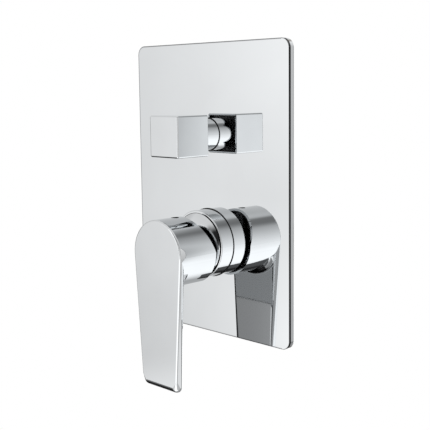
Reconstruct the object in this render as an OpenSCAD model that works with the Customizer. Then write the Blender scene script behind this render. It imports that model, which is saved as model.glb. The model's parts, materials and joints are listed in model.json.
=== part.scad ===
// Single lever concealed mixer with a pull diverter, for a shower and bath.
// X runs right, Y runs into the wall, Z runs up. The origin is the middle of the
// cover plate on the finished wall face, so the trim lies at negative Y.

/* [Cover plate] */
// Width of the cover plate
plate_w = 138; // [130:1:150]
// Height of the cover plate
plate_h = 190; // [184:1:200]
// Depth of the cover plate from its back rim to its face
plate_depth = 4.8; // [4.4:0.1:6]
// Sheet thickness of the cover plate
plate_wall = 1.5; // [1.2:0.1:1.8]
// Corner radius of the cover plate
plate_corner = 6; // [4:0.5:8]
// Rounding of the edge around the face
plate_edge = 0.2; // [0.1:0.05:0.25]
// Rounding of the edge at the wall
plate_rim_edge = 0.8; // [0.3:0.1:1.1]
// Thickness of the lip in front of the shadow groove
plate_lip = 0.3; // [0.3:0.05:0.5]
// Width of the shadow groove around the plate's side
groove_w = 1.2; // [0.8:0.1:1.4]
// Depth of the shadow groove
groove_d = 0.9; // [0.6:0.1:1]
// How far the foam gasket stands behind the plate's rim
gasket_proud = 0.4; // [0.3:0.1:0.8]
// Width of the gasket strip
gasket_w = 4; // [3:0.5:5]
// Width of the black rubber ring seen around the sleeve and the collar
ring_gap = 0.6; // [0.5:0.1:0.9]
// How far a rubber ring's flange reaches behind the plate
ring_flange = 2.5; // [2:0.5:3.5]

/* [Axes] */
// Height of the diverter's axis above the middle of the plate
knob_z = 36.3; // [35:0.5:38]
// Distance between the diverter's axis and the lever's axis
axis_spacing = 71; // [70:0.5:74]

/* [Lever] */
// Radius of the round hub
hub_r = 22; // [21:0.25:23]
// Wall thickness of the hollow hub
hub_wall = 2; // [1.6:0.2:2.6]
// How far the hub's axis lies below the sleeve's axis with the lever closed
hub_drop = 2.2; // [1.8:0.1:2.4]
// Distance from the plate's face to the lever's front face
lever_reach = 46.5; // [45.5:0.5:48]
// Gap from the plate's face to the lower half of the hub's back edge
hub_gap = 15.8; // [15:0.2:16.6]
// Slant of the upper half of the hub's back edge, in degrees
hub_slant = 23; // [20:1:26]
// Thickness of the hub's front wall behind the face
hub_face = 6; // [5.5:0.25:6.5]
// Distance from the hub's axis to the tip of the blade
blade_len = 87; // [84:1:92]
// Thickness of the blade
blade_t = 5.2; // [4.8:0.1:5.6]
// Half width of the blade at its tip
blade_tip = 16.5; // [15:0.5:18]
// Corner radius at the blade's tip
blade_corner = 4; // [3:0.5:5]
// Rounding of the edge around the front face
face_edge = 1.2; // [0.8:0.1:1.5]
// Rounding of the blade's back edges and of its lower front edge
back_edge = 3.8; // [3:0.2:3.9]
// Radius of the cast fillet between the hub and the blade's back
root_fillet = 4; // [3:0.5:5]
// Distance from the plate's face to the axis of the grub screw
screw_reach = 30.5; // [30:0.25:31.5]
// Radius of the lever's grub screw
screw_r = 2.5; // [2:0.1:2.8]
// Length of the lever's grub screw
screw_len = 12; // [9:0.5:13]

/* [Sleeve and dome] */
// Radius of the chrome sleeve
sleeve_r = 22.15; // [21.8:0.05:22.5]
// Wall thickness of the chrome sleeve
sleeve_wall = 1.45; // [1.3:0.05:1.6]
// How far the sleeve stands in front of the plate's face
sleeve_show = 11; // [10:0.25:11.5]
// Rounding of the sleeve's front edge
sleeve_edge = 0.7; // [0.4:0.1:0.9]
// Rise of the dome above the sleeve's edge
dome_rise = 6.4; // [5.5:0.2:6.8]
// Wall thickness of the dome
dome_wall = 1.2; // [1:0.1:1.5]
// Radius of the hole in the dome for the spindle
dome_hole_r = 11; // [10.5:0.25:12]

/* [Cartridge] */
// Radius of the ceramic cartridge
cart_r = 17.5; // [17:0.1:17.6]
// Depth of the cartridge's seat behind the wall face
seat_y = 20; // [19.5:0.25:22]
// Length of the cartridge from its seat to its shoulder
cart_len = 20.6; // [20.2:0.2:21]
// Length of the cartridge's front collar
cart_nose = 10.4; // [9.6:0.2:10.8]
// Radius of the cartridge's front collar
nose_r = 12; // [11.6:0.1:12.4]
// Radius of the turning rotor
rotor_r = 9.9; // [9.6:0.1:10.2]
// Thickness of each ceramic disc
disc_t = 3.5; // [3.2:0.1:3.6]
// Radius of the sliding disc
disc_r = 11.8; // [11:0.1:12.2]
// Side of the square spindle
spindle_w = 8; // [7.4:0.1:8.2]
// Distance of the lever's pivot in front of the cartridge's shoulder
pivot_ahead = 3.4; // [3:0.1:3.8]
// Distance from the pivot to the ball that moves the disc
arm_len = 8.5; // [8.2:0.1:8.8]
// Slope of the spindle with the lever closed, in degrees
closed_tilt = 10; // [8:0.5:11]
// Radius of the pivot pin
pin_r = 1.5; // [1.2:0.1:1.8]
// Radius of the ports in the base and the seat
port_r = 2.8; // [2.4:0.1:3]
// Length of the nut that holds the cartridge
nut_len = 9.3; // [8.8:0.1:9.8]

/* [Diverter] */
// Side of the square knob
knob_w = 26; // [25:0.25:27]
// Depth of the knob from front to back
knob_depth = 26; // [25:0.25:27]
// Distance from the plate's face to the back of the knob
knob_gap = 12.7; // [12.4:0.1:14]
// Wall thickness of the hollow knob
knob_wall = 1.5; // [1.3:0.1:2]
// Rounding of the knob's edges
knob_edge = 1.1; // [0.7:0.1:1.3]
// How far the plastic insert lies inside the knob's back
insert_recess = 2.3; // [1.5:0.1:3]
// Radius of the chrome collar
collar_r = 10.3; // [10:0.1:10.6]
// How far the collar stands in front of the plate's face
collar_show = 11; // [9.5:0.25:11.25]
// Rounding of the collar's front edge
collar_edge = 0.5; // [0.3:0.1:0.8]
// Radius of the chrome stem
stem_r = 5.9; // [5.6:0.1:6]
// Travel of the knob when it is pulled
pull_travel = 8; // [7:0.25:8]
// Radius of the two valve discs
valve_r = 10; // [9.4:0.1:10.2]
// Thickness of a valve disc
valve_t = 3; // [2.6:0.1:3.2]
// Thickness of a rubber valve seal
seal_t = 1.7; // [1.5:0.1:1.8]
// Thickness of each web with a seat in the cage
web_t = 3; // [2.6:0.1:3.2]
// Distance between the two webs
web_gap = 12; // [11.5:0.25:13]

/* [Brass body] */
// Radius of the body's neck around the cartridge
neck_r = 20.4; // [20.3:0.05:20.45]
// Depth of the neck's front edge in front of the wall face
neck_ahead = 8; // [7.6:0.1:8.4]
// Radius of the cartridge chamber
chamber_r = 23; // [22.5:0.25:25]
// Radius of the diverter chamber
valve_house_r = 17; // [16.5:0.25:18]
// Wall of the cast pipes
pipe_wall = 3; // [2.5:0.1:3.5]
// Radius of the water channels
channel_r = 7; // [6:0.1:7.2]
// Radius of the half inch port threads
thread_r = 9.3; // [9.2:0.05:9.5]
// Length of the port threads
thread_len = 15; // [12:0.5:16]
// Depth of the inlets' axis behind the cartridge's seat
inlet_depth = 13; // [12:0.5:16]
// Distance from the lever's axis to each inlet's end
inlet_reach = 58; // [54:0.5:64]
// Distance from the diverter's axis to the shower outlet's end
shower_reach = 46; // [43:0.5:50]
// Distance from the lever's axis to the spout outlet's end
spout_reach = 46; // [43:0.5:50]
// Distance between the two fixing holes
fixing_spacing = 60; // [56:1:70]
// Radius of the fixing holes
fixing_r = 2.75; // [2.25:0.25:3.25]

/* [Hidden] */
$fn = 96;
// Sides of the round children of a hull
hull_fn = 64;
// Steps of a rounded edge on the children of a hull
edge_steps = 8;
// Clearance between faces that seat on each other
seat_gap = 0.1;
// Clearance between pieces that turn or slide past each other
free_gap = 0.3;
// Clearance of a running fit
run_gap = 0.05;
// Overlap that joins two solids or runs a cut through a face
eps = 0.5;

// Stations along Y in front of the wall
front_y = -(plate_depth + gasket_proud);
plate_back_y = front_y + plate_wall;
sleeve_front_y = front_y - sleeve_show;
lever_front_y = front_y - lever_reach;
hub_back_y = front_y - hub_gap;
screw_y = front_y - screw_reach;
knob_back_y = front_y - knob_gap;
knob_front_y = knob_back_y - knob_depth;
collar_front_y = front_y - collar_show;

// Heights of the axes
lever_z = knob_z - axis_spacing;
hub_z = lever_z - hub_drop;
tip_z = hub_z - blade_len;

// Sleeve, neck and nut
sleeve_in = sleeve_r - sleeve_wall;
neck_y = -neck_ahead;
cart_bore = cart_r + 0.25;
shoulder_y = seat_y - cart_len;
nose_y = shoulder_y - cart_nose;
nut_r = cart_bore + 0.75;
nut_bore = nut_r + seat_gap;
nut_back_y = shoulder_y - seat_gap;
nut_front_y = nut_back_y - nut_len;
neck_shoulder_y = shoulder_y + 1;
chamber_front_y = neck_shoulder_y + 5.6;
o_ring_y = neck_shoulder_y + 2;
o_ring_wire = 0.7;
o_groove_r = sleeve_in - run_gap * 2 - 2 * o_ring_wire;

// Cartridge stack from the seat forward
base_t = 3.8;
base_back_y = seat_y - seat_gap;
base_front_y = base_back_y - base_t;
fixed_back_y = base_front_y - seat_gap;
fixed_front_y = fixed_back_y - disc_t;
moving_back_y = fixed_front_y - seat_gap;
moving_front_y = moving_back_y - disc_t;
carrier_back_y = moving_front_y - seat_gap;
cavity_r = cart_r - 2.5;
pivot_y = shoulder_y - pivot_ahead;
ball_r = 2.8;
ball_y = pivot_y + arm_len * cos(closed_tilt);
ball_z = lever_z + arm_len * sin(closed_tilt);
pocket_y = pivot_y + arm_len + ball_r + free_gap;
carrier_front_y = ball_y + free_gap;
flange_back_y = carrier_front_y - free_gap;
flange_front_y = flange_back_y - 3;
cavity_front_y = flange_front_y - free_gap;
rotor_front_y = nose_y - 1.5;
slot_half_z = 7;
// Places of the hot, cold and mixed ports about the cartridge's axis, as [x, z]
ports = [[-8, -5], [8, -5], [0, 10]];

// Lever socket, worked out along the spindle's slope
socket_mouth = 25;
socket_end = 40;
boss_r = 8;
chimney_r = 4.3;
spindle_top_z = lever_z - (pivot_y - screw_y) * tan(closed_tilt)
    + spindle_w / 2 / cos(closed_tilt);
screw_foot_z = spindle_top_z + screw_r * tan(closed_tilt) + run_gap;

// Diverter stations along Y
stem_front_y = knob_front_y + 6;
insert_front_y = knob_front_y + 4;
insert_back_y = knob_back_y - insert_recess;
knob_screw_y = (stem_front_y + insert_back_y) / 2;
house_front_y = 8;
bonnet_flange_y = house_front_y - 4.5;
bonnet_nose_y = collar_front_y + 3.4;
bonnet_nose_r = collar_r - 1.8;
bonnet_back_y = 14;
valve_bore = valve_r + 2.5;
cage_in = valve_r + 0.6;
cage_front_y = bonnet_back_y + 0.2;
valve_front_y = bonnet_back_y + pull_travel + 1;
front_seal_y = valve_front_y + seat_gap + valve_t + seat_gap;
web1_y = front_seal_y + seal_t + seat_gap;
web2_y = web1_y + web_t + web_gap;
web2_back_y = web2_y + web_t;
rear_seal_y = web2_back_y + pull_travel + seat_gap;
rear_disc_y = rear_seal_y + seal_t + seat_gap;
stem_nut_y = rear_disc_y + valve_t + seat_gap;
stem_nut_t = 3;
cage_back_y = stem_nut_y + stem_nut_t + 1;
house_bore_y = cage_back_y + 0.2;
house_back_y = house_bore_y + 2.8;
rod_r = 3.5;
rod_bore = rod_r + run_gap;
spacer_r = 4.8;
web_hole_r = 7.5;
stem_bore = stem_r + run_gap;
stem_ring_wire = 0.8;
stem_ring_ys = [bonnet_nose_y + 3, bonnet_nose_y + 7];

// Brass body, pipes behind the cartridge's seat
inlet_y = seat_y + inlet_depth;
riser_y = web1_y + web_t + web_gap / 2;
riser_r = channel_r - 1.5;
riser_foot_z = lever_z + ports[2][1] - 1.5;
shower_y = (bonnet_back_y + web1_y) / 2;
bypass_y = web2_back_y + 6;
bypass_r = channel_r - 1;
chamber_back_y = max(inlet_y + channel_r + 3, riser_y + riser_r + 1.5);
shower_z = knob_z + shower_reach;
spout_z = lever_z - spout_reach;
fixing_z = (knob_z + lever_z) / 2;
hex_r = (thread_r + 3.7) / cos(30);

// Points of an arc about [cx, cy] from angle a0 to a1
function arc(cx, cy, r, a0, a1, n) =
    [for (i = [0:n]) [cx + r * cos(a0 + (a1 - a0) * i / n),
                      cy + r * sin(a0 + (a1 - a0) * i / n)]];

// Solid rod along Y
module rod_y(y0, y1, r, x = 0, z = 0) {
    translate([x, y0, z]) rotate([-90, 0, 0]) cylinder(h = y1 - y0, r = r);
}

// Tube along Y
module tube_y(y0, y1, ro, ri, x = 0, z = 0) {
    difference() {
        rod_y(y0, y1, ro, x, z);
        rod_y(y0 - eps, y1 + eps, ri, x, z);
    }
}

// Solid turned about an axis along Y from a flat profile of [radius, y]
module turned_y(x = 0, z = 0) {
    translate([x, 0, z]) rotate([-90, 0, 0]) rotate_extrude() children();
}

// Profile of a tube whose front outer edge is rounded
module rounded_tube_profile(y0, y1, ro, ri, edge) {
    translate([ri, y0]) square([ro - edge - ri, y1 - y0]);
    translate([ri, y0 + edge]) square([ro - ri, y1 - y0 - edge]);
    translate([ro - edge, y0 + edge]) circle(r = edge);
}

// Rubber ring of round section about an axis along Y
module o_ring(y, ring_r, wire_r, z) {
    turned_y(0, z) translate([ring_r, y]) circle(r = wire_r, $fn = 24);
}

// Rectangle with round corners in the plane of the plate
module rounded_rect(w, h, r) {
    square([w - 2 * r, h], center = true);
    square([w, h - 2 * r], center = true);
    for (sx = [-1, 1], sz = [-1, 1])
        translate([sx * (w / 2 - r), sz * (h / 2 - r)]) circle(r = r);
}

// Flat shape raised along Y from y0 to y1, drawn in X and Z
module plate_y(y0, y1) {
    translate([0, y1, 0]) rotate([90, 0, 0]) linear_extrude(y1 - y0) children();
}

// Round post along Y with its front and back edges rounded, for a hull
module post(x, z, r, y0, y1, front, back) {
    translate([x, 0, z]) rotate([-90, 0, 0]) rotate_extrude($fn = hull_fn)
        polygon(concat([[0, y0]],
            arc(r - front, y0 + front, front, -90, 0, edge_steps),
            arc(r - back, y1 - back, back, 0, 90, edge_steps),
            [[0, y1]]));
}

// Hexagon socket cut into a screw's head, along Z
module hex_cut(across, depth) {
    cylinder(h = depth, r = across / 2 / cos(30), $fn = 6);
}

// Plate with a shadow groove around its side behind a thin lip, open at the
// back, with two round holes
module cover_plate() {
    reach_x = plate_w / 2 - plate_corner;
    reach_z = plate_h / 2 - plate_corner;
    rim_y = -gasket_proud;
    groove_y = front_y + plate_lip;
    color("gainsboro") difference() {
        hull() for (sx = [-1, 1], sz = [-1, 1])
            post(sx * reach_x, sz * reach_z, plate_corner, front_y, rim_y, plate_edge, plate_rim_edge);
        plate_y(plate_back_y, rim_y + eps)
            rounded_rect(plate_w - 2 * plate_wall, plate_h - 2 * plate_wall, plate_corner - plate_wall);
        plate_y(groove_y, groove_y + groove_w) difference() {
            square([plate_w + 2 * eps, plate_h + 2 * eps], center = true);
            rounded_rect(plate_w - 2 * groove_d, plate_h - 2 * groove_d, plate_corner - groove_d);
        }
        rod_y(front_y - eps, 0, sleeve_r + ring_gap, 0, lever_z);
        rod_y(front_y - eps, 0, collar_r + ring_gap, 0, knob_z);
    }
}

// Foam strip inside the rim that seals the plate against the wall
module plate_gasket() {
    inset = plate_wall + free_gap;
    outer_w = plate_w - 2 * inset;
    outer_h = plate_h - 2 * inset;
    corner = plate_corner - inset;
    color("dimgray") difference() {
        plate_y(plate_back_y + seat_gap, 0) rounded_rect(outer_w, outer_h, corner);
        plate_y(plate_back_y - eps, eps)
            square([outer_w - 2 * gasket_w, outer_h - 2 * gasket_w], center = true);
    }
}

// Rubber ring that grips a chrome tube and fills the plate's hole around it
module grip_ring(tube_r, z) {
    hole_r = tube_r + ring_gap;
    color("black") difference() {
        union() {
            rod_y(front_y + 0.3, plate_back_y + 1.6, hole_r - run_gap, 0, z);
            rod_y(plate_back_y + seat_gap, plate_back_y + 1.6, hole_r + ring_flange, 0, z);
        }
        rod_y(front_y - eps, 0, tube_r + run_gap, 0, z);
    }
}

module sleeve_ring() {
    grip_ring(sleeve_r, lever_z);
}

module collar_ring() {
    grip_ring(collar_r, knob_z);
}

// Chrome tube that slides over the neck of the body
module cartridge_sleeve() {
    color("silver") turned_y(0, lever_z)
        rounded_tube_profile(sleeve_front_y, chamber_front_y - 1, sleeve_r, sleeve_in, sleeve_edge);
}

module sleeve_o_ring() {
    color("black") o_ring(o_ring_y, o_groove_r + run_gap + o_ring_wire, o_ring_wire, lever_z);
}

// Chrome dome inside the sleeve's mouth, with a skirt that stands on the neck
module cartridge_dome() {
    rim_r = sleeve_in - free_gap;
    ball = (rim_r * rim_r + dome_rise * dome_rise) / (2 * dome_rise);
    centre_y = sleeve_front_y - dome_rise + ball;
    skirt_in = max(nut_bore, rim_r - 1.5);
    color("silver") turned_y(0, lever_z) {
        intersection() {
            difference() {
                translate([0, centre_y]) circle(r = ball, $fn = 180);
                translate([0, centre_y]) circle(r = ball - dome_wall, $fn = 180);
            }
            translate([dome_hole_r, sleeve_front_y - dome_rise - eps])
                square([rim_r - dome_hole_r, dome_rise + eps + 1.5]);
        }
        translate([skirt_in, sleeve_front_y]) square([rim_r - skirt_in, neck_y - seat_gap - sleeve_front_y]);
    }
}

// Blade with the round face, before the hub is added
module lever_blade() {
    tip_x = blade_tip - blade_corner;
    corner_z = tip_z + blade_corner;
    back_y = lever_front_y + blade_t;
    low_edge = min(back_edge, blade_corner) - 0.01;
    hull() {
        post(0, hub_z, hub_r, lever_front_y, back_y, face_edge, back_edge);
        for (sx = [-1, 1]) {
            post(sx * tip_x, corner_z + 4, blade_corner, lever_front_y, back_y, face_edge, low_edge);
            post(sx * tip_x, corner_z, blade_corner, lever_front_y, back_y, low_edge, face_edge);
        }
    }
}

// Concave cast fillet where the blade's back meets the underside of the hub
module lever_root() {
    back_y = lever_front_y + blade_t;
    half = blade_tip + (hub_r - blade_tip) * 0.5;
    intersection() {
        turned_y(0, hub_z) difference() {
            translate([hub_r - eps, back_y - eps]) square([root_fillet + eps, root_fillet + eps]);
            translate([hub_r + root_fillet, back_y + root_fillet]) circle(r = root_fillet);
        }
        translate([-half, back_y - 1, hub_z - hub_r - 2 * root_fillet])
            cube([2 * half, root_fillet + 2, hub_r]);
    }
}

// Frame of the spindle, sloped about the pivot with the lever closed
module on_spindle() {
    translate([0, pivot_y, lever_z]) rotate([closed_tilt, 0, 0]) children();
}

// One casting: hollow round hub, flat blade, socket for the spindle and a
// threaded post for the grub screw
module lever_handle() {
    hub_front_y = lever_front_y + blade_t - 0.2;
    cavity_y = lever_front_y + hub_face;
    post_top_z = hub_z + hub_r - 1;
    socket = spindle_w + 2 * run_gap;
    color("silver") difference() {
        union() {
            lever_blade();
            lever_root();
            difference() {
                rod_y(lever_front_y + face_edge, hub_back_y, hub_r, 0, hub_z);
                rod_y(cavity_y, hub_back_y + eps, hub_r - hub_wall, 0, hub_z);
                hub_slant_cut();
            }
            intersection() {
                union() {
                    on_spindle() rotate([90, 0, 0]) translate([0, 0, socket_mouth + eps])
                        cylinder(h = socket_end + 4 - socket_mouth, r = boss_r);
                    translate([0, screw_y, spindle_top_z])
                        cylinder(h = post_top_z - spindle_top_z, r = chimney_r);
                }
                rod_y(lever_front_y + 3, hub_back_y - 1, hub_r - 0.9, 0, hub_z);
            }
        }
        on_spindle() translate([-socket / 2, -socket_end - seat_gap, -socket / 2])
            cube([socket, socket_end - socket_mouth + 4, socket]);
        translate([0, screw_y, spindle_top_z - 1])
            cylinder(h = hub_r + hub_drop + 8, r = screw_r + run_gap);
    }
}

// Cuts the upper half of the hub's back edge away so that the lever can lift
module hub_slant_cut() {
    translate([-hub_r - eps, hub_back_y, hub_z]) rotate([hub_slant, 0, 0])
        cube([2 * hub_r + 2 * eps, 2 * hub_r, 3 * hub_r]);
}

module lever_grub_screw() {
    color("dimgray") difference() {
        translate([0, screw_y, screw_foot_z]) cylinder(h = screw_len, r = screw_r);
        translate([0, screw_y, screw_foot_z + screw_len - 3]) hex_cut(2.5, 4);
    }
}

// Square steel lever of the cartridge with a ball that moves the disc
module lever_spindle() {
    half = spindle_w / 2;
    neck = 2.2;
    color("slategray") on_spindle() difference() {
        union() {
            translate([-half, -socket_end + seat_gap, -half]) cube([spindle_w, socket_end + 2.4, spindle_w]);
            rotate([-90, 0, 0]) cylinder(h = arm_len, r = neck);
            translate([0, arm_len, 0]) sphere(r = ball_r);
        }
        translate([-half - eps, 0, 0]) rotate([0, 90, 0])
            cylinder(h = spindle_w + 2 * eps, r = pin_r + run_gap);
    }
}

module pivot_pin() {
    reach = rotor_r - 0.9;
    color("slategray") translate([-reach, pivot_y, lever_z]) rotate([0, 90, 0])
        cylinder(h = 2 * reach, r = pin_r);
}

// Plastic part that turns in the cartridge and carries the pivot pin
module cartridge_rotor() {
    slot_half_x = spindle_w / 2 + free_gap;
    color("ivory") difference() {
        union() {
            rod_y(rotor_front_y, flange_back_y, rotor_r, 0, lever_z);
            rod_y(flange_front_y, flange_back_y, cavity_r - free_gap, 0, lever_z);
        }
        translate([-slot_half_x, rotor_front_y - eps, lever_z - slot_half_z])
            cube([2 * slot_half_x, flange_back_y - rotor_front_y + 2 * eps, 2 * slot_half_z]);
        translate([-rotor_r + 0.7, pivot_y, lever_z]) rotate([0, 90, 0])
            cylinder(h = 2 * rotor_r - 1.4, r = pin_r + run_gap / 2);
    }
}

// Plastic plate that the ball slides up and down, with the ceramic disc behind it
module disc_carrier() {
    color("ivory") difference() {
        rod_y(carrier_front_y, carrier_back_y, disc_r, 0, ball_z);
        rod_y(carrier_front_y - eps, min(pocket_y, carrier_back_y - 0.6), ball_r + free_gap, 0, ball_z);
    }
}

module moving_disc() {
    color("whitesmoke") difference() {
        rod_y(moving_front_y, moving_back_y, disc_r, 0, ball_z);
        rod_y(moving_back_y - 1.6, moving_back_y + eps, 5.5, 0, ball_z);
    }
}

module fixed_disc() {
    color("whitesmoke") difference() {
        rod_y(fixed_front_y, fixed_back_y, cavity_r - run_gap, 0, lever_z);
        for (p = ports)
            rod_y(fixed_front_y - eps, fixed_back_y + eps, port_r, p[0], lever_z + p[1]);
    }
}

// Plastic cup that holds the discs, open to the base at the back
module cartridge_housing() {
    color("ivory") difference() {
        union() {
            rod_y(shoulder_y, base_front_y - seat_gap / 2, cart_r, 0, lever_z);
            rod_y(nose_y, shoulder_y + eps, nose_r, 0, lever_z);
        }
        rod_y(nose_y - eps, seat_y, rotor_r + free_gap, 0, lever_z);
        rod_y(cavity_front_y, seat_y, cavity_r, 0, lever_z);
    }
}

module cartridge_base() {
    color("ivory") difference() {
        rod_y(base_front_y, base_back_y, cart_r, 0, lever_z);
        for (p = ports) {
            rod_y(base_front_y - eps, base_back_y + eps, port_r, p[0], lever_z + p[1]);
            rod_y(base_back_y - 1.3, base_back_y + eps, port_r + 1.5, p[0], lever_z + p[1]);
        }
    }
}

// Three rubber seals between the base and the brass seat
module base_seals() {
    color("black") for (p = ports)
        tube_y(base_back_y - 1.2, seat_y - run_gap, port_r + 1.4, port_r + 0.2, p[0], lever_z + p[1]);
}

// Brass ring nut with two spanner slots
module cartridge_nut() {
    slot_w = 3;
    color("goldenrod") difference() {
        tube_y(nut_front_y, nut_back_y, nut_r, nose_r + free_gap, 0, lever_z);
        translate([-slot_w / 2, nut_front_y - eps, lever_z - nut_r - eps])
            cube([slot_w, 2.5, 2 * nut_r + 2 * eps]);
    }
}

// Square chrome shell, open at the back
module diverter_knob() {
    half = knob_w / 2 - knob_edge;
    inner = knob_w - 2 * knob_wall;
    color("silver") difference() {
        hull() for (sx = [-1, 1], sz = [-1, 1])
            post(sx * half, knob_z + sz * half, knob_edge, knob_front_y, knob_back_y,
                knob_edge - 0.01, 0.3);
        translate([-inner / 2, insert_front_y - seat_gap, knob_z - inner / 2])
            cube([inner, knob_depth, inner]);
        translate([0, knob_screw_y, knob_z - knob_w / 2 - eps]) cylinder(h = 2 * knob_wall, r = 2.3);
    }
}

// Black plastic block in the shell that takes the stem
module knob_insert() {
    side = knob_w - 2 * knob_wall - 2 * run_gap;
    color("black") difference() {
        translate([-side / 2, insert_front_y, knob_z - side / 2])
            cube([side, insert_back_y - insert_front_y, side]);
        rod_y(stem_front_y - seat_gap, insert_back_y + eps, stem_bore, 0, knob_z);
        translate([0, knob_screw_y, knob_z - knob_w / 2]) cylinder(h = knob_w / 2, r = 2.05);
    }
}

module knob_grub_screw() {
    foot_z = knob_z - stem_r - run_gap;
    screw_h = 6;
    color("dimgray") difference() {
        translate([0, knob_screw_y, foot_z - screw_h]) cylinder(h = screw_h, r = 2);
        translate([0, knob_screw_y, foot_z - screw_h - 1]) hex_cut(2, 3.5);
    }
}

// Chrome collar that screws on the bonnet in front of the plate
module diverter_collar() {
    shoulder = bonnet_nose_y - seat_gap;
    color("silver") turned_y(0, knob_z) {
        rounded_tube_profile(collar_front_y, shoulder, collar_r, stem_r + free_gap, collar_edge);
        translate([bonnet_nose_r + run_gap, shoulder - eps])
            square([collar_r - bonnet_nose_r - run_gap, bonnet_flange_y - seat_gap - shoulder + eps]);
    }
}

// Chrome rod from the knob to the valve, turned down behind its shoulder
module diverter_stem() {
    color("silver") {
        rod_y(stem_front_y, valve_front_y, stem_r, 0, knob_z);
        rod_y(valve_front_y - eps, stem_nut_y + stem_nut_t, rod_r, 0, knob_z);
    }
}

module valve_disc(y) {
    color("goldenrod") tube_y(y, y + valve_t, valve_r, rod_bore, 0, knob_z);
}

module front_valve_disc() {
    valve_disc(valve_front_y + seat_gap);
}

module rear_valve_disc() {
    valve_disc(rear_disc_y);
}

// Rubber washers on the two valve discs
module valve_seals() {
    color("black") for (y = [front_seal_y, rear_seal_y])
        tube_y(y, y + seal_t, valve_r - 0.6, rod_bore, 0, knob_z);
}

module valve_spacer() {
    color("goldenrod")
        tube_y(web1_y, rear_seal_y - seat_gap, spacer_r, rod_bore, 0, knob_z);
}

module stem_nut() {
    color("goldenrod") difference() {
        translate([0, stem_nut_y, knob_z]) rotate([-90, 0, 0])
            cylinder(h = stem_nut_t, r = 6, $fn = 6);
        rod_y(stem_nut_y - eps, stem_nut_y + stem_nut_t + eps, rod_bore, 0, knob_z);
    }
}

// Plastic cage with two seats and three windows for the water
module diverter_cage() {
    window = 5.5;
    color("ivory") difference() {
        rod_y(cage_front_y, cage_back_y, valve_bore - 0.15, 0, knob_z);
        rod_y(cage_front_y - eps, web1_y, cage_in, 0, knob_z);
        rod_y(web1_y + web_t, web2_y, cage_in, 0, knob_z);
        rod_y(web2_back_y, cage_back_y + eps, cage_in, 0, knob_z);
        rod_y(cage_front_y - eps, cage_back_y + eps, web_hole_r, 0, knob_z);
        translate([-window, shower_y - window, knob_z]) cube([2 * window, 2 * window, valve_bore]);
        translate([-window, riser_y - window, knob_z - valve_bore]) cube([2 * window, 2 * window, valve_bore]);
        translate([-window, bypass_y - window + 1, knob_z - valve_bore])
            cube([2 * window, 2 * window - 2, valve_bore]);
    }
}

// Brass bonnet with a hexagon flange, screwed into the diverter chamber
module diverter_bonnet() {
    groove = stem_bore + 2 * stem_ring_wire + run_gap;
    color("goldenrod") difference() {
        union() {
            rod_y(bonnet_nose_y, bonnet_flange_y + eps, bonnet_nose_r, 0, knob_z);
            translate([0, bonnet_flange_y, knob_z]) rotate([-90, 0, 0])
                cylinder(h = house_front_y - seat_gap - bonnet_flange_y, r = valve_bore + 3, $fn = 6);
            rod_y(house_front_y - 1, bonnet_back_y, valve_bore - seat_gap, 0, knob_z);
        }
        rod_y(bonnet_nose_y - eps, bonnet_back_y + eps, stem_bore, 0, knob_z);
        for (y = stem_ring_ys)
            rod_y(y - stem_ring_wire - run_gap, y + stem_ring_wire + run_gap, groove, 0, knob_z);
    }
}

// Two rubber rings in the bonnet's grooves around the stem
module stem_o_rings() {
    color("black") for (y = stem_ring_ys)
        o_ring(y, stem_bore + run_gap / 2 + stem_ring_wire, stem_ring_wire, knob_z);
}

// Solid pipe along X or Z between two ends, with a hexagon at its far end
module pipe_x(x0, x1, r) {
    translate([min(x0, x1), inlet_y, lever_z]) rotate([0, 90, 0]) cylinder(h = abs(x1 - x0), r = r);
}
module pipe_z(z0, z1, r, y) {
    translate([0, y, min(z0, z1)]) cylinder(h = abs(z1 - z0), r = r);
}

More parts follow.
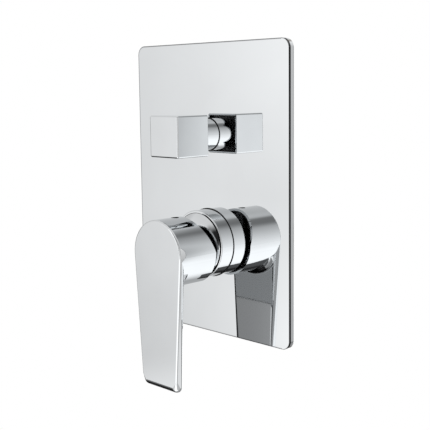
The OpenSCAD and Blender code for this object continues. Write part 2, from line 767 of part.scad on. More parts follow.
// Brass casting built into the wall: cartridge chamber below, diverter chamber
// above, hot and cold inlets at the sides, shower outlet on top, spout below
module mixer_body() {
    lug_t = 6;
    lug_h = 8;
    hex_len = 16;
    color("darkgoldenrod") difference() {
        union() {
            rod_y(neck_y, chamber_front_y + eps, neck_r, 0, lever_z);
            rod_y(chamber_front_y, chamber_back_y, chamber_r, 0, lever_z);
            rod_y(house_front_y, house_back_y, valve_house_r, 0, knob_z);
            pipe_x(-inlet_reach + 1, inlet_reach - 1, thread_r + 2.2);
            pipe_z(lever_z, knob_z, riser_r + pipe_wall, riser_y);
            pipe_z(knob_z, shower_z - 1, thread_r + 2.2, shower_y);
            pipe_z(knob_z, spout_z + 1, thread_r + 2.2, bypass_y);
            for (sx = [-1, 1])
                translate([sx * inlet_reach, inlet_y, lever_z]) rotate([0, -90 * sx, 0])
                    cylinder(h = hex_len, r = hex_r, $fn = 6);
            translate([0, shower_y, shower_z - hex_len]) cylinder(h = hex_len, r = hex_r, $fn = 6);
            translate([0, bypass_y, spout_z]) cylinder(h = hex_len, r = hex_r, $fn = 6);
            translate([-fixing_spacing / 2, riser_y - lug_t / 2, fixing_z - lug_h])
                cube([fixing_spacing, lug_t, 2 * lug_h]);
            for (sx = [-1, 1])
                rod_y(riser_y - lug_t / 2, riser_y + lug_t / 2, lug_h, sx * fixing_spacing / 2, fixing_z);
        }
        rod_y(neck_y - eps, neck_shoulder_y, nut_bore, 0, lever_z);
        rod_y(neck_y, seat_y, cart_bore, 0, lever_z);
        difference() {
            rod_y(o_ring_y - 1, o_ring_y + 1, neck_r + 1, 0, lever_z);
            rod_y(o_ring_y - 2, o_ring_y + 2, o_groove_r, 0, lever_z);
        }
        for (p = [ports[0], ports[1]])
            rod_y(seat_y - eps, inlet_y, port_r + 0.2, p[0], lever_z + p[1]);
        rod_y(seat_y - eps, riser_y, port_r + 0.2, ports[2][0], lever_z + ports[2][1]);
        for (sx = [-1, 1]) {
            pipe_x(sx * 3, sx * (inlet_reach + eps), channel_r);
            pipe_x(sx * (inlet_reach - thread_len), sx * (inlet_reach + eps), thread_r);
            rod_y(riser_y - lug_t, riser_y + lug_t, fixing_r, sx * fixing_spacing / 2, fixing_z);
        }
        pipe_z(riser_foot_z, knob_z, riser_r, riser_y);
        rod_y(house_front_y - eps, house_bore_y, valve_bore, 0, knob_z);
        pipe_z(knob_z, shower_z + eps, channel_r, shower_y);
        pipe_z(shower_z - thread_len, shower_z + eps, thread_r, shower_y);
        pipe_z(knob_z, spout_z - eps, bypass_r, bypass_y);
        pipe_z(spout_z + thread_len, spout_z - eps, thread_r, bypass_y);
    }
}

cover_plate();
plate_gasket();
sleeve_ring();
collar_ring();
cartridge_sleeve();
sleeve_o_ring();
cartridge_dome();
lever_handle();
lever_grub_screw();
lever_spindle();
pivot_pin();
cartridge_rotor();
disc_carrier();
moving_disc();
fixed_disc();
cartridge_housing();
cartridge_base();
base_seals();
cartridge_nut();
diverter_knob();
knob_insert();
knob_grub_screw();
diverter_collar();
diverter_stem();
front_valve_disc();
rear_valve_disc();
valve_seals();
valve_spacer();
stem_nut();
diverter_cage();
diverter_bonnet();
stem_o_rings();
mixer_body();
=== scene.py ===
# Looks of a concealed shower and bath mixer with a lever and a diverter knob.
# Metres throughout. X runs right, Y into the wall and Z up, and the origin is the middle
# of the cover plate on the wall face.
import json
import math

import bpy
from mathutils import Matrix, Vector


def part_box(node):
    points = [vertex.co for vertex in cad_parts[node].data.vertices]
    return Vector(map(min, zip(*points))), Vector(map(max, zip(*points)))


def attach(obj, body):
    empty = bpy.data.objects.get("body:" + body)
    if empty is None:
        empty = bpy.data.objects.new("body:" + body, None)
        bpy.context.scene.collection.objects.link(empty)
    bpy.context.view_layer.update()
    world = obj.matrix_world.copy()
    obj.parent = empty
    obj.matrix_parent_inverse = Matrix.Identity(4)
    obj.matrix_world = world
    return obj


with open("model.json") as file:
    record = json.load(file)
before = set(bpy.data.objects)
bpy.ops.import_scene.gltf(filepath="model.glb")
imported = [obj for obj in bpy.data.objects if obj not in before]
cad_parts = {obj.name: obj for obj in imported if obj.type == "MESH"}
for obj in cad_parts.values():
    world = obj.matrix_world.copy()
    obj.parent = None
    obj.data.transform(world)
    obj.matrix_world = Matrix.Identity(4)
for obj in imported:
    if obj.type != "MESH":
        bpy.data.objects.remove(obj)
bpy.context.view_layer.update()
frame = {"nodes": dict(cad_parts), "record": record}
nodes = frame["nodes"]

# CAMERA
# A long lens to the right of the mixer and a little above it, turned 45.6 degrees to the
# left and 8 degrees down, with the small roll that the photograph has.
plate_face_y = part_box("cover_plate")[0].y
yaw, pitch, roll = math.radians(45.613), math.radians(8.069), math.radians(-0.726)
forward = Vector((-math.sin(yaw) * math.cos(pitch), math.cos(yaw) * math.cos(pitch),
                  -math.sin(pitch)))
level_right = Vector((math.cos(yaw), math.sin(yaw), 0.0))
level_up = level_right.cross(forward)
right = math.cos(roll) * level_right + math.sin(roll) * level_up
up = right.cross(forward)
lens = bpy.data.cameras.new("photo_lens")
lens.lens, lens.sensor_width = 74.770, 36.0
lens.clip_start, lens.clip_end = 0.01, 50.0
camera = bpy.data.objects.new("photo_camera", lens)
bpy.context.scene.collection.objects.link(camera)
stand = Vector((0.417992, plate_face_y - 0.404070, 0.065745))
aim = Matrix((right, up, -forward)).transposed().to_4x4()
camera.matrix_world = Matrix.Translation(stand) @ aim
bpy.context.scene.camera = camera
bpy.context.scene.view_settings.view_transform = "Standard"

# STUDIO
# Soft panels and dark flags all round, which is what polished chrome shows. Each stands
# at a compass angle (0 is straight out of the wall, 90 to the right) and an elevation.
# Everything that isn't polished gets an even light, and the camera sees white.
room_light, even_light, white_light = 0.95, 0.9, 1.0


def add(tree, kind, **values):
    node = tree.nodes.new(kind)
    for key, value in values.items():
        setattr(node, key, value)
    return node


def join(tree, value, socket):
    if isinstance(value, bpy.types.NodeSocket):
        tree.links.new(value, socket)
    else:
        socket.default_value = value


def math_node(tree, operation, *inputs):
    node = add(tree, "ShaderNodeMath", operation=operation)
    for value, socket in zip(inputs, node.inputs):
        join(tree, value, socket)
    return node.outputs[0]


def map_range(tree, value, low, high, at_low, at_high, smooth="LINEAR"):
    node = add(tree, "ShaderNodeMapRange", interpolation_type=smooth)
    for socket, given in zip(node.inputs, (value, low, high, at_low, at_high)):
        join(tree, given, socket)
    return node.outputs["Result"]


def mix_colour(tree, factor, first, second):
    node = add(tree, "ShaderNodeMix", data_type="RGBA", clamp_factor=True)
    join(tree, factor, node.inputs[0])
    join(tree, first, node.inputs[6])
    join(tree, second, node.inputs[7])
    return node.outputs[2]


def mix_shader(tree, factor, first, second):
    node = add(tree, "ShaderNodeMixShader")
    for value, socket in zip((factor, first, second), node.inputs):
        join(tree, value, socket)
    return node.outputs[0]


def grey(level):
    return (level, level, level, 1.0)


def new_group(name, inputs, outputs):
    group = bpy.data.node_groups.new(name, "ShaderNodeTree")
    for in_out, sockets in (("INPUT", inputs), ("OUTPUT", outputs)):
        for socket, kind in sockets.items():
            group.interface.new_socket(socket, in_out=in_out, socket_type="NodeSocket" + kind)
    return group, add(group, "NodeGroupInput").outputs, add(group, "NodeGroupOutput").inputs


def place_group(tree, group, inputs):
    node = add(tree, "ShaderNodeGroup", node_tree=group)
    for socket, value in inputs.items():
        join(tree, value, node.inputs[socket])
    return node.outputs


def soft_edge(tree, away, half, blur):
    near = math_node(tree, "SUBTRACT", half, math_node(tree, "MULTIPLY", blur, 0.5))
    far = math_node(tree, "ADD", half, math_node(tree, "MULTIPLY", blur, 0.5))
    return map_range(tree, math_node(tree, "ABSOLUTE", away), near, far, 1.0, 0.0, "SMOOTHSTEP")


softbox_inputs = ("Compass Angle", "Elevation", "Centre Angle", "Centre Elevation",
                  "Half Width", "Half Height", "Side Blur", "Top Blur")
softbox, ins, outs = new_group("softbox", {socket: "Float" for socket in softbox_inputs},
                               {"Mask": "Float", "Height": "Float"})
turn = math_node(softbox, "SUBTRACT", ins["Compass Angle"], ins["Centre Angle"])
turn = math_node(softbox, "WRAP", turn, 180.0, -180.0)
lift = math_node(softbox, "SUBTRACT", ins["Elevation"], ins["Centre Elevation"])
mask = math_node(softbox, "MULTIPLY",
                 soft_edge(softbox, turn, ins["Half Width"], ins["Side Blur"]),
                 soft_edge(softbox, lift, ins["Half Height"], ins["Top Blur"]))
join(softbox, mask, outs["Mask"])
foot_lift = math_node(softbox, "MULTIPLY", ins["Half Height"], -1.0)
join(softbox, map_range(softbox, lift, foot_lift, ins["Half Height"], 0.0, 1.0), outs["Height"])

world = bpy.data.worlds.new("studio")
bpy.context.scene.world = world
world.use_nodes = True
tree = world.node_tree
tree.nodes.clear()
direction = add(tree, "ShaderNodeSeparateXYZ")
join(tree, add(tree, "ShaderNodeTexCoord").outputs["Generated"], direction.inputs["Vector"])
outward = math_node(tree, "MULTIPLY", direction.outputs["Y"], -1.0)
compass = math_node(tree, "DEGREES",
                    math_node(tree, "ARCTAN2", direction.outputs["X"], outward))
elevation = math_node(tree, "DEGREES", math_node(tree, "ARCSINE", direction.outputs["Z"]))
# centre angle, centre elevation, half width, half height, side blur, top blur, and the
# brightness at the panel's foot and at its head
panels = (
    # under the mixer and behind it
    (180, -66, 90, 40, 20, 16, 0.60, 0.36),
    (-126, -47, 34, 13, 14, 12, 0.02, 0.06),
    # room on the left, with a dark floor and a dark corner
    (-95, 4, 40, 34, 30, 16, 0.76, 0.78),
    (-98, -12, 32, 16, 8, 10, 0.03, 0.03),
    (-88, -44, 42, 20, 10, 8, 0.02, 0.03),
    (-32, -40, 17, 16, 14, 8, 0.80, 0.76),
    # large front panel, brighter to the right
    (-52, -8, 20, 15, 24, 4, 0.80, 1.07),
    (-23, -8, 20, 15, 22, 4, 1.66, 1.50),
    (-32, -7, 18, 4, 18, 10, 1.12, 1.12),
    (-42, -21, 22, 2, 16, 5, 1.40, 1.40),
    (-44, 24, 26, 17, 20, 6, 1.05, 0.92),
    (-24, 8, 5, 18, 4, 8, 2.20, 2.20),
    # right-hand panel over a bright floor, and the grey room beside it
    (50, 8, 42, 38, 60, 10, 2.40, 0.36),
    (34, -48, 38, 22, 40, 10, 2.36, 2.30),
    (78, -16, 30, 58, 6, 8, 0.80, 0.52),
    # dark flag beside the camera, its softer top, and the light over it
    (4, 23, 13, 8, 14, 12, 0.26, 0.30),
    (15, 9, 10, 18, 10, 12, 0.01, 0.03),
    (18, 37, 12, 9, 14, 12, 0.34, 0.34),
    (-8, 46, 10, 8, 16, 10, 0.90, 1.25),
    # behind on the right
    (130, -8, 32, 24, 24, 16, 0.55, 1.00),
    (120, -25, 8, 4, 6, 4, 1.10, 1.10),
    (160, 34, 40, 16, 20, 14, 0.90, 1.30),
    (160, -8, 18, 22, 10, 10, 0.18, 0.22),
    (-164, -19, 24, 8, 8, 6, 2.50, 2.10),
    (-172, 3, 20, 8, 16, 8, 0.22, 0.22),
)
light = grey(room_light)
for *place, foot, head in panels:
    panel = place_group(tree, softbox, dict(zip(softbox_inputs, (compass, elevation, *place))))
    brightness = mix_colour(tree, panel["Height"], grey(foot), grey(head))
    light = mix_colour(tree, panel["Mask"], light, brightness)
lights = {}
for name, colour in (("studio", light), ("even", grey(even_light)), ("white", grey(white_light))):
    background = add(tree, "ShaderNodeBackground")
    join(tree, colour, background.inputs["Color"])
    lights[name] = background.outputs[0]
path = add(tree, "ShaderNodeLightPath").outputs
glow = mix_shader(tree, path["Is Glossy Ray"], lights["even"], lights["studio"])
glow = mix_shader(tree, path["Is Camera Ray"], glow, lights["white"])
join(tree, glow, add(tree, "ShaderNodeOutputWorld").inputs["Surface"])

# WALL AND FLOOR
# The white plastered wall that the body is built into, and a pale floor a metre below
# that fades to white away from the mixer. The wall is clear from behind, so that the body
# shows in the views from there. Chrome shows the studio in place of both.
wall_y, floor_z, room = 0.0005, -1.0, 6.0
fade_start, fade_end = 0.6, 2.7
plaster_grey = 0.85


def new_material(name):
    material = bpy.data.materials.new(name)
    material.use_nodes = True
    material.node_tree.nodes.clear()
    return material, material.node_tree


def backdrop_paint(name, white_near, clear_behind):
    material, tree = new_material(name)
    away = add(tree, "ShaderNodeVectorMath", operation="LENGTH")
    join(tree, add(tree, "ShaderNodeTexCoord").outputs["Object"], away.inputs[0])
    whiteness = map_range(tree, away.outputs["Value"], fade_start, fade_end, white_near, 1.0)
    seen = add(tree, "ShaderNodeLightPath").outputs["Is Camera Ray"]
    plaster = add(tree, "ShaderNodeBsdfDiffuse")
    plaster.inputs["Color"].default_value = grey(plaster_grey)
    surface = mix_shader(tree, math_node(tree, "MULTIPLY", seen, whiteness),
                         plaster.outputs[0], add(tree, "ShaderNodeEmission").outputs[0])
    if clear_behind:
        back = add(tree, "ShaderNodeNewGeometry").outputs["Backfacing"]
        surface = mix_shader(tree, back, surface,
                             add(tree, "ShaderNodeBsdfTransparent").outputs[0])
    join(tree, surface, add(tree, "ShaderNodeOutputMaterial").inputs["Surface"])
    return material


# name, place, rotation, whiteness near the mixer, clear from behind
backdrops = (
    ("wall", (0, wall_y, 0), (math.pi / 2, 0, 0), 1.0, True),
    ("floor", (0, 0, floor_z), (0, 0, 0), 0.5, False),
)
bpy.ops.object.select_all(action="DESELECT")
for name, place, turned, white_near, clear_behind in backdrops:
    bpy.ops.mesh.primitive_plane_add(size=room, location=place, rotation=turned)
    backdrop = bpy.context.object
    backdrop.name = name
    backdrop.data.materials.append(backdrop_paint(name + "_paint", white_near, clear_behind))
    backdrop.visible_glossy = False
    bpy.ops.object.select_all(action="DESELECT")

# BRASS BODY
# The part that is built into the wall: sand cast in brass, with a rough skin that has
# darkened, and machined bright on the hexagons, the neck and the ports.
body_low, body_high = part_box("mixer_body")
hexagon_length = 0.016
neck_back_y = 0.0056
cast_dark, cast_light = (0.36, 0.25, 0.10, 1), (0.60, 0.45, 0.20, 1)
cast_smooth, cast_rough = 0.42, 0.62
cut_brass, cut_roughness = (0.80, 0.62, 0.30, 1), 0.24


def object_place(tree, centre=(0, 0, 0)):
    node = add(tree, "ShaderNodeMapping", vector_type="POINT")
    join(tree, add(tree, "ShaderNodeTexCoord").outputs["Object"], node.inputs["Vector"])
    node.inputs["Location"].default_value = [-part for part in centre]
    return node.outputs["Vector"]


def parts_of(tree, vector):
    node = add(tree, "ShaderNodeSeparateXYZ")
    join(tree, vector, node.inputs["Vector"])
    return node.outputs


def highest(tree, first, *others):
    for other in others:
        first = math_node(tree, "MAXIMUM", first, other)
    return first


def new_shader(tree, metallic, roughness):
    shader = add(tree, "ShaderNodeBsdfPrincipled")
    shader.inputs["Metallic"].default_value = metallic
    shader.inputs["Roughness"].default_value = roughness
    join(tree, shader.outputs["BSDF"], add(tree, "ShaderNodeOutputMaterial").inputs["Surface"])
    return shader.inputs


def shade_by(tree, shader, mask, shades, roughness):
    join(tree, mix_colour(tree, mask, *shades), shader["Base Color"])
    join(tree, map_range(tree, mask, 0.0, 1.0, *roughness), shader["Roughness"])


def raise_surface(tree, height, normal_socket, depth):
    bump = add(tree, "ShaderNodeBump")
    bump.inputs["Distance"].default_value = depth
    join(tree, height, bump.inputs["Height"])
    join(tree, bump.outputs["Normal"], normal_socket)


def dress(material, *names):
    for name in names:
        nodes[name].data.materials.clear()
        nodes[name].data.materials.append(material)


# Fine lumps and larger clouds, for cast, moulded and blackened skins
grain, ins, outs = new_group(
    "grain", {"Vector": "Vector", "Lumps per Metre": "Float", "Clouds per Metre": "Float"},
    {"Height": "Float", "Cloud": "Float"})
lumps = add(grain, "ShaderNodeTexNoise")
lumps.inputs["Detail"].default_value = 3.0
clouds = add(grain, "ShaderNodeTexNoise")
clouds.inputs["Detail"].default_value = 4.0
for texture, scale in ((lumps, "Lumps per Metre"), (clouds, "Clouds per Metre")):
    join(grain, ins["Vector"], texture.inputs["Vector"])
    join(grain, ins[scale], texture.inputs["Scale"])
join(grain, lumps.outputs["Fac"], outs["Height"])
join(grain, map_range(grain, clouds.outputs["Fac"], 0.35, 0.65, 0.0, 1.0), outs["Cloud"])

cast_brass, tree = new_material("cast_brass")
spot = object_place(tree)
along = parts_of(tree, spot)
skin = place_group(tree, grain, {"Vector": spot, "Lumps per Metre": 1400.0,
                                 "Clouds per Metre": 60.0})
sideways = math_node(tree, "ABSOLUTE", along["X"])
machined = highest(
    tree,
    math_node(tree, "GREATER_THAN", sideways, body_high.x - hexagon_length),
    math_node(tree, "GREATER_THAN", along["Z"], body_high.z - hexagon_length),
    math_node(tree, "LESS_THAN", along["Z"], body_low.z + hexagon_length),
    math_node(tree, "LESS_THAN", along["Y"], neck_back_y))
shader = new_shader(tree, metallic=1.0, roughness=0.5)
cast_tone = mix_colour(tree, skin["Cloud"], cast_dark, cast_light)
cast_roughness = map_range(tree, skin["Cloud"], 0.0, 1.0, cast_smooth, cast_rough)
shade_by(tree, shader, machined, (cast_tone, cut_brass), (cast_roughness, cut_roughness))
lumpy = math_node(tree, "MULTIPLY", skin["Height"], math_node(tree, "SUBTRACT", 1.0, machined))
raise_surface(tree, lumpy, shader["Normal"], depth=0.0004)
dress(cast_brass, "mixer_body")

# PORT THREADS
# The half inch pipe threads cut in the four ports of the casting. One turn of the ridge
# is drawn as a flat-topped section and wound up its pitch, once for each port.
thread_pitch, thread_turns, steps_per_turn = 0.001814, 7, 48
ridge_height, ridge_root, ridge_crest = 0.0004, 0.0013, 0.0004
root_sink = 0.00005
ports = [mount for mount in frame["record"]["mounts"] if mount["kind"] == "threaded_hole"]
bore = ports[0]["dims"]["r_mm"] / 1000
bpy.ops.mesh.primitive_plane_add(size=1.0, location=(0, 0, 0))
thread = bpy.context.object
for corner in thread.data.vertices:
    inward = corner.co.x < 0
    reach = bore - ridge_height if inward else bore + root_sink
    width = ridge_crest if inward else ridge_root
    corner.co = Vector((reach, 0.0, math.copysign(width / 2, corner.co.y)))
bpy.ops.object.mode_set(mode="EDIT")
bpy.ops.mesh.select_all(action="SELECT")
bpy.ops.mesh.delete(type="ONLY_FACE")
bpy.ops.object.mode_set(mode="OBJECT")
winding = thread.modifiers.new("winding", "SCREW")
winding.axis, winding.angle, winding.screw_offset = "Z", 2 * math.pi, thread_pitch
winding.iterations, winding.steps, winding.render_steps = (
    thread_turns, steps_per_turn, steps_per_turn)
bpy.ops.object.modifier_apply(modifier="winding")
thread.data.transform(Matrix.Translation((0, 0, -thread_pitch * thread_turns / 2)))
# The wound ridge is open where it starts and stops, so both ends get a face
on_seam, near_end = 1e-6, 1.1 * ridge_root
heights = [corner.co.z for corner in thread.data.vertices]
for end in (min(heights), max(heights)):
    bpy.ops.object.mode_set(mode="EDIT")
    bpy.ops.mesh.select_mode(type="VERT")
    bpy.ops.mesh.select_all(action="DESELECT")
    bpy.ops.object.mode_set(mode="OBJECT")
    for corner in thread.data.vertices:
        at_start = corner.co.x > 0 and abs(corner.co.y) < on_seam
        corner.select = at_start and abs(corner.co.z - end) < near_end
    bpy.ops.object.mode_set(mode="EDIT")
    bpy.ops.mesh.edge_face_add()
    bpy.ops.object.mode_set(mode="OBJECT")
bpy.ops.object.mode_set(mode="EDIT")
bpy.ops.mesh.select_all(action="SELECT")
bpy.ops.mesh.normals_make_consistent(inside=False)
bpy.ops.object.mode_set(mode="OBJECT")
bpy.ops.object.shade_smooth_by_angle(angle=math.radians(30))
thread.data.materials.append(cast_brass)
for mount in ports:
    wound = thread.copy()
    wound.data = thread.data.copy()
    wound.name = mount["name"] + "_thread"
    bpy.context.scene.collection.objects.link(wound)
    upright = Vector(mount["axis"]).to_track_quat("Z", "Y").to_matrix().to_4x4()
    wound.data.transform(Matrix.Translation(mount["pos_m"]) @ upright)
    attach(wound, "wall_unit")
bpy.data.objects.remove(thread)

# CARTRIDGE PLASTICS
# The cup, base, rotor and disc carrier of the cartridge and the diverter's cage, all
# injection moulded in a white acetal with a fine matt grain and faint flow clouds.
skin_spread = 0.05


def moulded(name, shade, clouded, roughness, bump_depth):
    material, tree = new_material(name)
    skin = place_group(tree, grain, {"Vector": object_place(tree), "Lumps per Metre": 2600.0,
                                     "Clouds per Metre": 110.0})
    shader = new_shader(tree, 0.0, roughness)
    shade_by(tree, shader, skin["Cloud"], (shade, clouded),
             (roughness - skin_spread, roughness + skin_spread))
    raise_surface(tree, skin["Height"], shader["Normal"], bump_depth)
    return material


white_plastic = moulded("white_plastic", (0.80, 0.79, 0.74, 1), (0.86, 0.85, 0.81, 1),
                        roughness=0.42, bump_depth=0.00006)
dress(white_plastic, "cartridge_housing", "cartridge_base", "cartridge_rotor", "disc_carrier",
      "diverter_cage")

# CERAMIC DISCS
# Two lapped alumina discs that slide on each other and open the water's way. They are
# off-white, almost glossy, with the faint speckle of fired grains.
ceramic = moulded("ceramic", (0.87, 0.86, 0.83, 1), (0.93, 0.92, 0.90, 1),
                  roughness=0.16, bump_depth=0.00001)
dress(ceramic, "fixed_disc", "moving_disc")

# RUBBER SEALS
# The seals below the cartridge, the washers of the valve and the rings on the neck and
# the stem: black nitrile rubber, pressed in a mould and slightly matt.
seal_rubber = moulded("seal_rubber", (0.012, 0.012, 0.013, 1), (0.022, 0.022, 0.023, 1),
                      roughness=0.5, bump_depth=0.00004)
dress(seal_rubber, "base_seals", "sleeve_o_ring", "valve_seals", "stem_o_rings")

# STEEL SPINDLE AND PIN
# The square steel lever that the handle sits on and the pin that it tilts about. Both
# are ground along their length, which leaves fine scratches that way.
sleeve_low, sleeve_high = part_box("cartridge_sleeve")
lever_axis = (sleeve_low + sleeve_high) / 2
steel, tree = new_material("ground_steel")
stretched = add(tree, "ShaderNodeMapping", vector_type="POINT")
join(tree, object_place(tree, lever_axis), stretched.inputs["Vector"])
stretched.inputs["Scale"].default_value = (1.0, 0.04, 1.0)
scratches = place_group(tree, grain, {
    "Vector": stretched.outputs["Vector"], "Lumps per Metre": 3000.0, "Clouds per Metre": 900.0})
shader = new_shader(tree, metallic=1.0, roughness=0.3)
shade_by(tree, shader, scratches["Cloud"], roughness=(0.24, 0.38),
         shades=((0.52, 0.52, 0.53, 1), (0.64, 0.64, 0.65, 1)))
raise_surface(tree, scratches["Height"], shader["Normal"], depth=0.00003)
dress(steel, "lever_spindle", "pivot_pin")

# TURNED BRASS
# The nut over the cartridge, and the bonnet, discs, spacer and nut of the diverter. They
# are turned from bar, so fine rings run round each part's own axis.
stem_low, stem_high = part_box("diverter_stem")
knob_axis = (stem_low + stem_high) / 2


def distance(tree, first, second):
    squares = [math_node(tree, "POWER", side, 2.0) for side in (first, second)]
    return math_node(tree, "SQRT", math_node(tree, "ADD", *squares))


# Rings about the Y axis, on end faces by their radius and on round sides by their depth
turning_marks, ins, outs = new_group("turning_marks", {"Vector": "Vector", "Pitch": "Float"},
                                     {"Height": "Float", "Tone": "Float"})
level = parts_of(turning_marks, ins["Vector"])
radius = distance(turning_marks, level["X"], level["Z"])
feed = math_node(turning_marks, "DIVIDE",
                 math_node(turning_marks, "ADD", radius, level["Y"]), ins["Pitch"])
wave = math_node(turning_marks, "SINE", math_node(turning_marks, "MULTIPLY", feed, 2 * math.pi))
join(turning_marks, map_range(turning_marks, wave, -1.0, 1.0, 0.0, 1.0), outs["Height"])
chatter = add(turning_marks, "ShaderNodeTexNoise", noise_dimensions="1D")
join(turning_marks, feed, chatter.inputs["W"])
chatter.inputs["Scale"].default_value = 0.7
join(turning_marks, chatter.outputs["Fac"], outs["Tone"])


def turned_brass(name, axis):
    material, tree = new_material(name)
    marks = place_group(tree, turning_marks, {
        "Vector": object_place(tree, (axis.x, 0, axis.z)), "Pitch": 0.0004})
    shader = new_shader(tree, metallic=1.0, roughness=0.25)
    shade_by(tree, shader, marks["Tone"], roughness=(0.18, 0.34),
             shades=((0.68, 0.51, 0.22, 1), (0.84, 0.67, 0.34, 1)))
    raise_surface(tree, marks["Height"], shader["Normal"], depth=0.00001)
    return material


dress(turned_brass("turned_brass_below", lever_axis), "cartridge_nut")
dress(turned_brass("turned_brass_above", knob_axis), "front_valve_disc", "rear_valve_disc",
      "valve_spacer", "stem_nut", "diverter_bonnet")

# SLEEVE AND DOME
# Turned brass tube with a rounded mouth and a thin dome inside it, both polished and
# chrome plated. The sleeve slides over the body's neck, and its inside stays unplated
# and is painted dark as shade.
chrome_shade, chrome_light = (0.625, 0.638, 0.648, 1), (0.645, 0.660, 0.670, 1)
sleeve_wall, sleeve_mouth = 0.00145, 0.002
sleeve_radius = (sleeve_high.x - sleeve_low.x) / 2
# Dark inside colour of the sleeve: unplated brass with painted shade
unplated_painted_shade = (0.10, 0.085, 0.06, 1)

# Faint smears of handling on a polished surface
polish, ins, outs = new_group(
    "polish", {"Vector": "Vector", "Smears per Metre": "Float", "Clean": "Float", "Dull": "Float"},
    {"Roughness": "Float", "Tone": "Float"})
smears = add(polish, "ShaderNodeTexNoise")
smears.inputs["Detail"].default_value = 5.0
smears.inputs["Distortion"].default_value = 0.6
join(polish, ins["Vector"], smears.inputs["Vector"])
join(polish, ins["Smears per Metre"], smears.inputs["Scale"])
join(polish, map_range(polish, smears.outputs["Fac"], 0.40, 0.72, ins["Clean"], ins["Dull"]),
     outs["Roughness"])
join(polish, map_range(polish, smears.outputs["Fac"], 0.3, 0.7, 0.0, 1.0), outs["Tone"])


def chrome(name, smears_per_metre, dull_and_shaded_parts=()):
    """Polished chrome. Each extra part is a function that gives a mask, a colour and a roughness;
    some are duller finishes and some are painted shade.
    """
    material, tree = new_material(name)
    spot = object_place(tree)
    handled = place_group(tree, polish, {"Vector": spot, "Smears per Metre": smears_per_metre,
                                         "Clean": 0.012, "Dull": 0.035})
    colour = mix_colour(tree, handled["Tone"], chrome_shade, chrome_light)
    roughness = handled["Roughness"]
    for find_mask, part_colour, part_roughness in dull_and_shaded_parts:
        mask = find_mask(tree, parts_of(tree, spot))
        colour = mix_colour(tree, mask, colour, part_colour)
        roughness = map_range(tree, mask, 0.0, 1.0, roughness, part_roughness)
    shader = new_shader(tree, metallic=1.0, roughness=0.02)
    join(tree, colour, shader["Base Color"])
    join(tree, roughness, shader["Roughness"])
    return material


def all_of(tree, first, *others):
    for other in others:
        first = math_node(tree, "MULTIPLY", first, other)
    return first


def inside_tube(axis_z, tube_radius, front_y):
    def find_mask(tree, along):
        rise = math_node(tree, "SUBTRACT", along["Z"], axis_z)
        away = distance(tree, along["X"], rise)
        return all_of(tree, math_node(tree, "LESS_THAN", away, tube_radius),
                      math_node(tree, "GREATER_THAN", along["Y"], front_y))
    return find_mask


# Painted shade inside the sleeve, beyond its mouth
sleeve_inside = inside_tube(lever_axis.z, sleeve_radius - 0.9 * sleeve_wall,
                            sleeve_low.y + sleeve_mouth)
dress(chrome("chrome_sleeve", 45.0, [(sleeve_inside, unplated_painted_shade, 0.45)]), "cartridge_sleeve")
dress(chrome("chrome_dome", 60.0), "cartridge_dome")

# COVER PLATE
# Brass plate over the hole in the wall, ground flat, polished and chrome plated, with a
# groove round its side that is coloured dark as painted shadow, and a fine line of painted
# shade where its face is rounded into the edge. Its hollow back only has a dull flash of nickel.
plate_low, plate_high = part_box("cover_plate")
plate_sheet, plate_lip, plate_rim = 0.0015, 0.0003, 0.0012
plate_corner, edge_line = 0.006, 0.0009
shadow_front, shadow_back = plate_low.y + 0.00012, plate_low.y + 0.00152


# Painted shade: a fine dark line round the face, where it is rounded into the edge
def edge_line_painted_shade(tree, along):
    # How far inside the outline a spot of the face lies, for a rectangle with round corners
    across, upright = (
        math_node(tree, "SUBTRACT", math_node(tree, "ABSOLUTE", part), half - plate_corner)
        for part, half in ((along["X"], plate_high.x), (along["Z"], plate_high.z)))
    round_part = distance(tree, highest(tree, across, 0.0), highest(tree, upright, 0.0))
    straight_part = math_node(tree, "MINIMUM", highest(tree, across, upright), 0.0)
    inside = math_node(tree, "SUBTRACT", plate_corner,
                       math_node(tree, "ADD", round_part, straight_part))
    front = math_node(tree, "LESS_THAN", along["Y"], plate_low.y + plate_lip)
    # The painted line of shade is finer down the right-hand edge
    left_of_it = math_node(tree, "LESS_THAN", along["X"], plate_high.x - plate_corner)
    fine = math_node(tree, "LESS_THAN", inside, 0.4 * edge_line)
    return all_of(tree, front, highest(tree, left_of_it, fine),
                  map_range(tree, inside, 0.3 * edge_line, edge_line, 1.0, 0.0))


# Painted shadow: the groove round the plate's side is coloured almost black
def groove_painted_shadow(tree, along):
    # Light from above gets into the groove round the upper corners
    lit_from, lit_to = plate_high.z - plate_corner, plate_high.z - 0.4 * plate_corner
    return all_of(tree, math_node(tree, "GREATER_THAN", along["Y"], shadow_front),
                  math_node(tree, "LESS_THAN", along["Y"], shadow_back),
                  map_range(tree, along["Z"], lit_from, lit_to, 1.0, 0.0))


def in_hollow(tree, along):
    behind = math_node(tree, "GREATER_THAN", along["Y"], plate_low.y + 0.9 * plate_sheet)
    across, upright = (
        math_node(tree, "LESS_THAN", math_node(tree, "ABSOLUTE", part), half - plate_rim)
        for part, half in ((along["X"], plate_high.x), (along["Z"], plate_high.z)))
    return all_of(tree, behind, across, upright)


dress(chrome("chrome_plate", 22.0, [(in_hollow, (0.34, 0.33, 0.31, 1), 0.4),
                                    (edge_line_painted_shade, (0.12, 0.122, 0.125, 1), 0.1),
                                    (groove_painted_shadow, (0.03, 0.03, 0.03, 1), 0.35)]), "cover_plate")

# GASKET
# Strip of dark closed-cell foam inside the plate's rim, cut from sheet, that seals the
# plate against the tiles.
foam, tree = new_material("foam")
cells = add(tree, "ShaderNodeTexVoronoi", feature="F1")
join(tree, object_place(tree), cells.inputs["Vector"])
cells.inputs["Scale"].default_value = 1500.0
shader = new_shader(tree, metallic=0.0, roughness=0.9)
cell_wall = map_range(tree, cells.outputs["Distance"], 0.2, 0.8, 0.0, 1.0)
shade_by(tree, shader, cell_wall, roughness=(0.95, 0.8),
         shades=((0.025, 0.025, 0.027, 1), (0.075, 0.075, 0.08, 1)))
raise_surface(tree, cell_wall, shader["Normal"], depth=0.0002)
dress(foam, "plate_gasket")

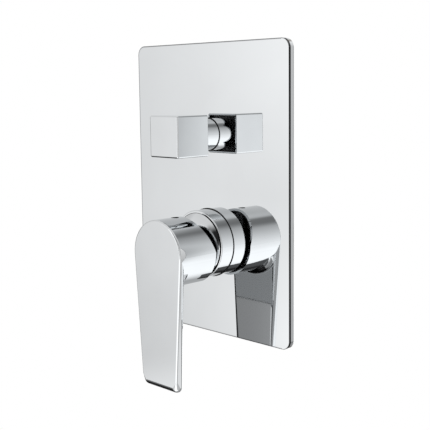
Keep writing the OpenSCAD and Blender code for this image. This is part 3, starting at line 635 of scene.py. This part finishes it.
# RUBBER RINGS
# Thin black rubber rings in the plate's two holes. They grip the sleeve and the collar
# and keep water out of the wall.
ring_rubber = moulded("ring_rubber", (0.006, 0.006, 0.006, 1), (0.012, 0.012, 0.012, 1),
                      roughness=0.55, bump_depth=0.00003)
dress(ring_rubber, "sleeve_ring", "collar_ring")

# LEVER
# One zinc die casting, a round hollow hub and a flat blade, polished and chrome plated.
# Inside the hub it is rough, with painted shade. The blade's back, which faces the plate,
# is a little rougher and painted darker as shade, with a line of painted shade down one
# edge, and its root fillet has painted shade on the left and below.
lever_low, lever_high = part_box("lever_handle")
hub_radius = (lever_high.x - lever_low.x) / 2
hub_z = lever_high.z - hub_radius
hub_wall, hub_front_wall = 0.002, 0.006
blade_back_y = lever_low.y + 0.0042
blade_top_z = hub_z - 0.014
back_blend, root_depth = 0.0008, 0.0012
blade_side = Vector((-0.9978, 0.0, -0.066))
edge_from, edge_to = hub_radius - 0.0030, hub_radius - 0.0024
fillet_from, fillet_to = hub_radius + 0.0001, hub_radius + 0.0042
fillet_front, fillet_right = lever_low.y + 0.00525, 0.0128
# Colour of the painted shade inside the hub and down the blade's back edge
painted_shade_dark = (0.05, 0.05, 0.052, 1)


# Painted shade on the blade's back, which faces the plate
def blade_back_painted_shade(tree, along):
    return all_of(
        tree,
        map_range(tree, along["Y"], blade_back_y, blade_back_y + back_blend, 0.0, 1.0,
                  "SMOOTHSTEP"),
        math_node(tree, "LESS_THAN", along["Y"], blade_back_y + root_depth),
        math_node(tree, "LESS_THAN", along["Z"], blade_top_z))


# Painted shade: a dark line down one back edge of the blade
def back_edge_painted_shade(tree, along):
    rise = math_node(tree, "SUBTRACT", along["Z"], hub_z)
    out = math_node(tree, "ADD", math_node(tree, "MULTIPLY", along["X"], blade_side.x),
                    math_node(tree, "MULTIPLY", rise, blade_side.z))
    edge = map_range(tree, out, edge_from, edge_to, 0.0, 1.0, "SMOOTHSTEP")
    return all_of(tree, edge, blade_back_painted_shade(tree, along))


# Painted shade in the root fillet between the blade and the hub, on the left and below
def root_fillet_painted_shade(tree, along):
    away = distance(tree, along["X"], math_node(tree, "SUBTRACT", along["Z"], hub_z))
    return all_of(tree, math_node(tree, "GREATER_THAN", away, fillet_from),
                  math_node(tree, "LESS_THAN", away, fillet_to),
                  math_node(tree, "LESS_THAN", along["X"], fillet_right),
                  math_node(tree, "GREATER_THAN", along["Y"], fillet_front))


# Painted shade inside the hub
hub_inside_painted_shade = inside_tube(hub_z, hub_radius - 0.7 * hub_wall,
                         lever_low.y + hub_front_wall - 0.0003)
dress(chrome("chrome_lever", 40.0, [(root_fillet_painted_shade, (0.03, 0.03, 0.032, 1), 0.15),
                                    (blade_back_painted_shade, (0.36, 0.365, 0.37, 1), 0.07),
                                    (back_edge_painted_shade, painted_shade_dark, 0.1),
                                    (hub_inside_painted_shade, painted_shade_dark, 0.4)]), "lever_handle")

# GRUB SCREWS
# Two hexagon socket screws of blackened steel, one through the hub on to the spindle and
# one through the knob on to the stem.
black_steel, tree = new_material("blackened_steel")
skin = place_group(tree, grain, {"Vector": object_place(tree), "Lumps per Metre": 2500.0,
                                 "Clouds per Metre": 400.0})
shader = new_shader(tree, metallic=0.8, roughness=0.45)
shade_by(tree, shader, skin["Cloud"], roughness=(0.35, 0.5),
         shades=((0.03, 0.03, 0.033, 1), (0.07, 0.07, 0.075, 1)))
raise_surface(tree, skin["Height"], shader["Normal"], depth=0.00003)
dress(black_steel, "lever_grub_screw", "knob_grub_screw")

# COLLAR AND STEM
# The collar is a turned tube over the bonnet and the stem a ground rod, both chrome
# plated. The stem slides out of the collar when the knob is pulled.
dress(chrome("chrome_collar", 70.0), "diverter_collar")
dress(chrome("chrome_stem", 80.0), "diverter_stem")

# KNOB
# A square zinc shell, polished and chrome plated outside, on a black moulded plastic
# block that takes the stem. Inside, the shell is rough and painted dark as shade.
knob_low, knob_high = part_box("diverter_knob")
knob_half, knob_z = (knob_high.x - knob_low.x) / 2, (knob_low.z + knob_high.z) / 2
knob_wall, knob_front = 0.0015, 0.0035
shade_half, shade_front = knob_half - 0.7 * knob_wall, knob_low.y + knob_front


# Painted shade on the inner walls of the knob's shell
def knob_inside_painted_shade(tree, along):
    across = math_node(tree, "ABSOLUTE", along["X"])
    upright = math_node(tree, "ABSOLUTE", math_node(tree, "SUBTRACT", along["Z"], knob_z))
    widest = highest(tree, across, upright)
    return all_of(tree, math_node(tree, "LESS_THAN", widest, shade_half),
                  math_node(tree, "GREATER_THAN", along["Y"], shade_front))


dress(chrome("chrome_knob", 60.0, [(knob_inside_painted_shade, (0.02, 0.02, 0.02, 1), 0.5)]), "diverter_knob")
black_plastic = moulded("black_plastic", (0.012, 0.012, 0.012, 1), (0.02, 0.02, 0.021, 1),
                        roughness=0.4, bump_depth=0.00005)
dress(black_plastic, "knob_insert")
